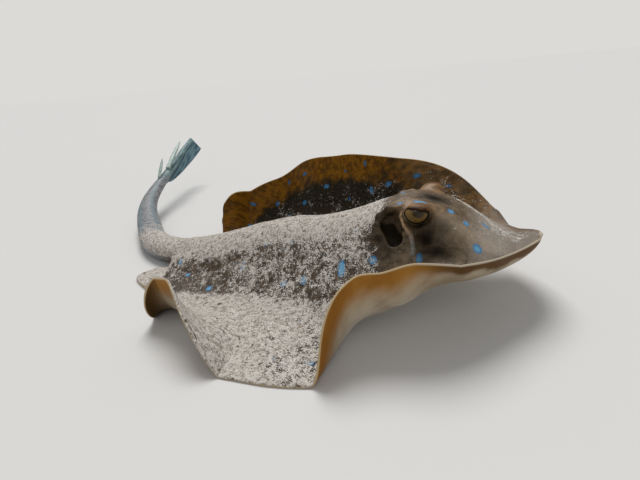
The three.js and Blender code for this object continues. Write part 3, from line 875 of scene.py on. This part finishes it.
def skin_inputs(look):
    """The masks that the mesh keeps and the noises, by name."""
    m = types.SimpleNamespace(rest=look.attribute("rest"))
    m.along, m.across, m.over = look.parts(m.rest)
    for name, masks in MASKS.items():
        for mask, socket in zip(masks, look.parts(look.attribute(name))):
            setattr(m, mask, socket)
    for name, settings in NOISES.items():
        setattr(m, name, look.noise(m.rest, *settings))
    m.far_front = look.step(m.along, 88, 116)
    return m


def upper_colour(look, m):
    """Brown and amber skin with blue spots, a paler head, and the grey and teal tail; the amber is partly
    painted light through the left fin, and painted shade darkens the left fin's spots and the head's
    hollows.
    """
    brown = look.tones(m.mottle, 0.38, 0.62, (52, 41, 28), (88, 70, 50))
    amber = look.tones(m.mottle, 0.35, 0.62, (86, 54, 6), (128, 84, 12))
    deep = look.tones(m.speck, 0.4, 0.62, (26, 22, 14), (52, 44, 30))
    # the amber mask is partly painted light glowing through the left fin
    ragged_amber = look.plus(m.amber, look.times(look.less(m.patch, 0.5), 1.6))
    wing = look.mix(look.step(ragged_amber, 0.2, 0.8), deep, amber)
    upper = look.mix(m.fin, brown, wing)
    taupe = look.tones(m.mottle, 0.36, 0.64, (92, 74, 50), (130, 110, 82))
    taupe = look.lay(taupe, (182, 171, 158), look.step(m.along, 112, 130), 0.66)
    taupe = look.lay(taupe, (92, 78, 62), look.step(m.along, 136, 150), 0.6)
    upper = look.mix(look.times(m.head, 0.85), upper, taupe)
    upper = look.lay(upper, (60, 48, 34), look.step(m.speck, 0.56, 0.68), 0.5)
    golden = look.tones(m.mottle, 0.35, 0.65, (106, 72, 34), (160, 118, 68))
    upper = look.mix(m.gold, upper, golden)
    upper = look.lay(upper, (170, 152, 130), m.ridge, 0.4)
    ragged = look.plus(m.spot, look.times(look.less(m.mottle, 0.5), 2.2))
    blue = look.tones(m.spot, -2.4, 0.0, (104, 166, 200), (62, 122, 166))
    # painted shade: the spots on the left fin are darker
    blue = look.lay(blue, (24, 62, 100), look.times(m.fin, look.step(m.across, 40, 70)), 0.6)
    upper = look.mix(look.times(look.step(ragged, 0.45, -0.35), 0.92), upper, blue)
    upper = look.mix(m.fold, upper, look.mix(m.fold_low, rgb(190, 152, 112), rgb(112, 108, 100)))
    # painted shade, near black, in the spiracle, the head's hollows and the eyes' rooms, and partly on the
    # cheeks
    upper = look.mix(m.dark, upper, rgb(10, 8, 6))
    grey = look.tones(m.mottle, 0.35, 0.65, (108, 109, 110), (146, 146, 146))
    upper = look.mix(m.tail, upper, look.lay(grey, (108, 134, 142), m.stripe, 0.55))
    drawn = look.node("CombineXYZ", {0: look.times(m.along, 0.1), 1: m.across, 2: m.over})
    streak = look.noise(drawn, 3.0, 3, 0.6)
    teal = look.tones(streak, 0.36, 0.62, (62, 92, 100), (128, 156, 154))
    upper = look.mix(look.times(look.step(m.along, -370, -430), m.tail), upper, teal)
    return look.mix(m.flap, upper, look.tones(streak, 0.36, 0.62, (52, 80, 98), (104, 136, 140)))


def lower_colour(look, m):
    """Cream in the middle of the belly, beige around it and bronze by the edges of the fins, darkened as
    painted shade under the raised front, on the rear corners and in the openings.
    """
    cream = look.tones(m.cloud, 0.4, 0.62, (204, 196, 184), (228, 222, 212))
    beige = look.tones(m.cloud, 0.35, 0.62, (152, 134, 108), (176, 160, 136))
    bronze = look.tones(m.cloud, 0.3, 0.7, (142, 92, 30), (166, 116, 46))
    # painted shade under the raised front of the disc
    bronze = look.lay(bronze, (78, 54, 28), m.far_front, 0.85)
    # painted shade on the fins' raised rear corners
    bronze = look.mix(look.step(m.along, -88, -116), bronze, rgb(84, 60, 26))
    band = look.plus(m.inwards, look.times(m.cloud, 10.0))
    lower = look.mix(look.step(band, 52, 22), cream, beige)
    lower = look.mix(look.step(band, look.less(24.0, look.times(m.far_front, 11.0)), 9), lower, bronze)
    # painted shade on the underside of the fins' rear corners
    rear_corner_shade = look.times(look.step(m.along, -80, -108), look.step(m.inwards, 64, 34))
    lower = look.lay(lower, (74, 54, 26), rear_corner_shade, 0.8)
    # painted shade in the openings of the belly
    return look.mix(m.dark, lower, rgb(70, 40, 32))


def sand_dust(look, m):
    """Where the dust lies, with fewer gaps where there is more of it, and its colour, with painted shade in
    its small pits.
    """
    cover = look.plus(look.times(m.grain, 0.34), look.times(m.clump, 0.36))
    cover = look.plus(cover, look.times(m.patch, 0.30))
    cover = look.less(look.plus(cover, look.times(m.sand, 0.5)), 0.75)
    pale = look.tones(m.clump, 0.36, 0.62, (146, 136, 124), (196, 188, 178))
    pale = look.mix(look.step(m.grain, 0.50, 0.64), pale, rgb(222, 216, 208))
    # the dark pits are painted shade of small hollows in the dust; the debris is dark grains of it
    pits, debris = look.step(m.pits, 0.54, 0.64), look.step(m.debris, 0.66, 0.70)
    pale = look.lay(look.lay(pale, (92, 78, 62), pits, 0.7), (74, 60, 46), debris, 0.8)
    return look.step(cover, -0.03, 0.04), pale


def skin_look():
    look = Look("ray_skin")
    m = skin_inputs(look)
    skin = look.mix(m.belly, upper_colour(look, m), lower_colour(look, m))
    # the pale line along the disc's edge is a painted highlight
    rim = look.mix(m.far_front, rgb(194, 170, 132), rgb(190, 176, 154))
    skin = look.mix(look.step(m.inwards, 0.9, 0.2), skin, rim)
    dusted, pale = sand_dust(look, m)
    skin = look.mix(look.times(dusted, 0.96), skin, pale)
    roughness = look.plus(0.50, look.times(dusted, 0.45))
    shine = look.times(look.less(1.0, look.sum("MAXIMUM", m.dark, dusted)), 0.32)
    shine = look.times(shine, look.less(1.0, look.times(m.fin, 0.7)))
    height = look.plus(look.times(m.mottle, 0.5), look.times(m.speck, 0.5))
    height = look.plus(height, look.times(look.times(m.clump, dusted), 1.8))
    return look.finish(height, 0.0005, 0.7, Base_Color=skin, Roughness=roughness, Specular_IOR_Level=shine)


def eye_look():
    look = Look("ray_eye")
    a, b, front = look.parts(look.attribute("gaze"))
    fleck = look.noise(look.node("CombineXYZ", {0: a, 1: b, 2: front}), 1.4, 3, 0.6)

    def ring(centre_a, centre_b, long, high):
        da = look.sum("DIVIDE", look.less(a, centre_a), long)
        db = look.sum("DIVIDE", look.less(b, centre_b), high)
        return look.sum("SQRT", look.plus(look.times(da, da), look.times(db, db)))

    iris = look.tones(fleck, 0.35, 0.65, (88, 66, 27), (128, 99, 46))
    iris = look.mix(look.step(ring(-1.1, 1.4, 6.0, 5.6), 0.6, 0.95), iris, rgb(112, 85, 39))
    pupil = look.step(ring(0.1, 1.4, 4.2, 2.9), 1.1, 0.7)
    colour = look.mix(pupil, iris, rgb(50, 38, 15))
    # painted shade along the edge of the lids' opening, where the eyeball goes under them
    lid_edge_shade = look.step(ring(-1.1, 1.9, 7.2, 6.4), 0.92, 1.06)
    colour = look.mix(lid_edge_shade, colour, rgb(34, 22, 10))
    # painted shadow of the upper lid over the top of the eyeball
    colour = look.mix(look.step(b, 1.8, 3.4), colour, rgb(36, 24, 10))
    return look.finish(Base_Color=colour, Roughness=0.3, Specular_IOR_Level=0.25)


def sting_look():
    look = Look("ray_sting")
    rest = look.attribute("rest")
    streak = look.noise(rest, 1.2, 3, 0.6)
    colour = look.tones(streak, 0.35, 0.65, (132, 156, 148), (184, 200, 190))
    return look.finish(streak, 0.0002, 0.5, Base_Color=colour, Roughness=0.42)


# ---------- pieces ----------
FLESH = (
    "head", "trunk", "snout",
    "pectoral_fin_left", "pectoral_fin_right", "pelvic_fin_left", "pelvic_fin_right",
    "tail_base", "tail_mid", "tail_tip", "tail_fold",
)


def bake_map(piece, flat, quads):
    """A UV map of the flat skin: seen from above and from below, with the sides of the tail apart."""
    corners = flat[quads]
    face = faces_of(flat, quads)
    behind = corners[:, :, 0].mean(1) < TAIL_X - 12
    sideways = behind & (np.abs(face[:, 1]) > np.abs(face[:, 2]))
    above = face[:, 2] >= 0
    left = face[:, 1] >= 0
    x, y, h = corners[..., 0] + 600, corners[..., 1] + 145, corners[..., 2] + 5
    u, v = x.copy(), y.copy()
    v[~above] += 295
    v[sideways] = h[sideways] + 600
    v[sideways & left] += 70
    layer = piece.data.uv_layers.new(name="OFBake")
    layer.data.foreach_set("uv", (np.stack([u, v], -1) / 800).astype(np.float32).ravel())


def make_skin():
    flat, quads = draw_body()
    bent = place(*flat.T)
    bent[:, 2] = np.maximum(bent[:, 2], 0)
    normal = vertex_normals(bent, quads)
    marks = skin_marks(flat, normal)
    # the dust has a body of its own, thickest where it lies deepest
    lumps = 0.5 + 0.5 * Noise(3, 9.0).at(bent)
    grains = 0.5 + 0.5 * Noise(5, 2.4).at(bent)
    dust = ramp(marks["sand"], 0.35, 0.9) * (0.55 * lumps + 0.35 * grains)
    bent = bent + normal * dust[:, None]
    bent[:, 2] = np.maximum(bent[:, 2], 0)
    piece = make_piece("skin", bent, quads, skin_look())
    give(piece, "rest", flat)
    for name, masks in MASKS.items():
        give(piece, name, np.stack([marks[mask] for mask in masks], 1))
    bake_map(piece, flat, quads)
    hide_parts(*FLESH)


def tube(rows, columns):
    """The quads of a grid of points that closes round its rows."""
    for i, j in itertools.product(range(rows), range(columns)):
        a, b = i * columns + j, i * columns + (j + 1) % columns
        yield a, b, b + columns, a + columns


def make_eye(name, side, look):
    """The eyeball, with its iris and pupil turned to look out and a little forward."""
    rows, columns = 48, 64
    polar = np.repeat(np.pi * np.arange(rows + 1) / rows, columns)
    turn = np.tile(2 * np.pi * np.arange(columns) / columns, rows + 1)
    # right, up and out along the gaze
    local = np.stack([np.sin(polar) * np.cos(turn), np.sin(polar) * np.sin(turn), np.cos(polar)], 1)
    cornea = 0.5 * ramp(local[:, 2], 0.72, 1.0)
    q = local @ np.stack([LID_ALONG, LID_UP, GAZE]) * (EYE_R + cornea)[:, None]
    q[:, 2] *= EYE_HIGH / EYE_R
    faces = [face[::side] for face in tube(rows, columns)]
    cos, sin = math.cos(EYE_PITCH), math.sin(EYE_PITCH)
    world = np.stack([q[:, 0] * cos - q[:, 2] * sin, side * q[:, 1], q[:, 0] * sin + q[:, 2] * cos], 1)
    middle = place(*(np.array([v]) for v in (EYE_X, side * EYE_Y, EYE_H)))
    piece = make_piece(name.replace("eye", "eyeball"), world + middle, faces, look)
    give(piece, "gaze", q @ np.stack([LID_ALONG, LID_UP, GAZE], 1))
    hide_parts(name)


def make_sting(name, at, length, spread, side, half, look):
    """A flat blade with a blunt point, and barbs along both edges that point back to its root."""
    centre, across, up = (v[0] for v in tail_frame(np.array([float(at)])))
    along = np.cross(across, up)
    lean, rise = math.radians(side), math.radians(spread)
    out = up * math.cos(lean) + across * math.sin(lean)
    wide = unit(np.cross(along, out))
    run = along * math.cos(rise) + out * math.sin(rise)
    wide_at, high_at = on_tail(TAIL_HALF_WIDE, at), on_tail(TAIL_HALF_HIGH, at)
    skin_at = 1 / math.hypot(math.sin(lean) / wide_at, math.cos(lean) / high_at)
    base = centre + out * (skin_at - 0.4 + STING_FLATNESS * (STING_BLUNT + half))
    stations, around = BARB_STATIONS * int(length / BARB_EVERY), 10
    points, rest = [], []
    for i in range(stations + 1):
        t = i / stations
        reach = STING_BLUNT + half * (1 - t**3) ** 0.7
        tooth = 1 - (i % BARB_STATIONS) / (BARB_STATIONS - 1)
        barb = BARB_LONG * tooth * ramp(t, 0.25, 0.4) * (1 - t) ** 0.3
        for j in range(around):
            turn = -2 * math.pi * j / around
            cos, sin = math.cos(turn), math.sin(turn)
            groove = 0.35 * bump(cos, 0, 0.35) * (sin < 0)
            edge = reach * 0.97 * cos * (1 + barb * abs(cos) ** 3 / max(reach, 0.6))
            flat_side = reach * STING_FLATNESS * sin * (1 - groove)
            points.append(base + run * length * t + wide * edge + out * flat_side)
            rest.append((length * t * 0.2, edge, flat_side))
    ends = [range(around - 1, -1, -1), range(stations * around, (stations + 1) * around)]
    faces = [*tube(stations, around), *ends]
    piece = make_piece(name + "_blade", np.array(points), faces, look)
    give(piece, "rest", np.array(rest))
    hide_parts(name)


make_skin()
eye_material = eye_look()
for eye_name, eye_side in (("eye_left", 1), ("eye_right", -1)):
    make_eye(eye_name, eye_side, eye_material)
sting_material = sting_look()
for sting in STINGS:
    make_sting(*sting, sting_material)


# ---------- floor, light and camera ----------
def make_floor():
    """A wide pale floor."""
    half = 40.0
    corners = [(-half, -half, 0), (half, -half, 0), (half, half, 0), (-half, half, 0)]
    mesh = bpy.data.meshes.new("studio_floor")
    mesh.from_pydata(corners, [], [(0, 1, 2, 3)])
    mesh.materials.append(Look("studio_floor").finish(Base_Color=rgb(216, 214, 210), Roughness=0.9))
    stand("studio_floor", mesh)


def make_sun(name, place_at, spread, strength):
    """Light from the direction of a place, softened over an angle."""
    lamp = bpy.data.lights.new(name, "SUN")
    lamp.angle = math.radians(spread)
    lamp.energy = strength
    stand(name, lamp, Vector(place_at).to_track_quat("Z", "Y").to_matrix().to_4x4())


def make_world(colour, strength):
    """Even light from the sky; the camera itself sees the same colour as the floor's far edge."""
    look = Look("studio", "worlds")
    light = look.tree.nodes["Background"]
    look.put(light.inputs["Color"], colour)
    look.put(light.inputs["Strength"], strength)
    seen = look.node("Background", {"Color": rgb(219, 218, 215)})
    path = look.tree.nodes.new("ShaderNodeLightPath").outputs["Is Camera Ray"]
    mixed = look.node("MixShader", {0: path, 1: light.outputs[0], 2: seen})
    look.put(look.tree.nodes["World Output"].inputs["Surface"], mixed)
    bpy.context.scene.world = look.owner


# The camera stands over the right fin's side, looks down a little and is rolled slightly clockwise.
CAMERA_AT = (0.2318, -0.3069, 0.160)
CAMERA_YAW, CAMERA_DIP, CAMERA_ROLL = math.radians(24.3), math.radians(20.6), math.radians(5.3)
LENS, SENSOR = 24.75, 36.0


def make_camera():
    camera = bpy.data.cameras.new("camera")
    camera.lens = LENS
    camera.sensor_width = SENSOR
    camera.clip_start = 0.01
    aim = Matrix.Rotation(CAMERA_YAW, 4, "Z") @ Matrix.Rotation(math.pi / 2 - CAMERA_DIP, 4, "X")
    roll = Matrix.Rotation(-CAMERA_ROLL, 4, "Z")
    bpy.context.scene.camera = stand("camera", camera, Matrix.Translation(CAMERA_AT) @ aim @ roll)


make_floor()
make_camera()
make_sun("key", (-0.5, 0.9, 1.7), 30, 2.3)
make_sun("fill", (0.9, -1.3, 1.0), 60, 0.45)
make_world((0.86, 0.88, 0.92, 1), 0.35)
bpy.context.scene.view_settings.view_transform = "Standard"
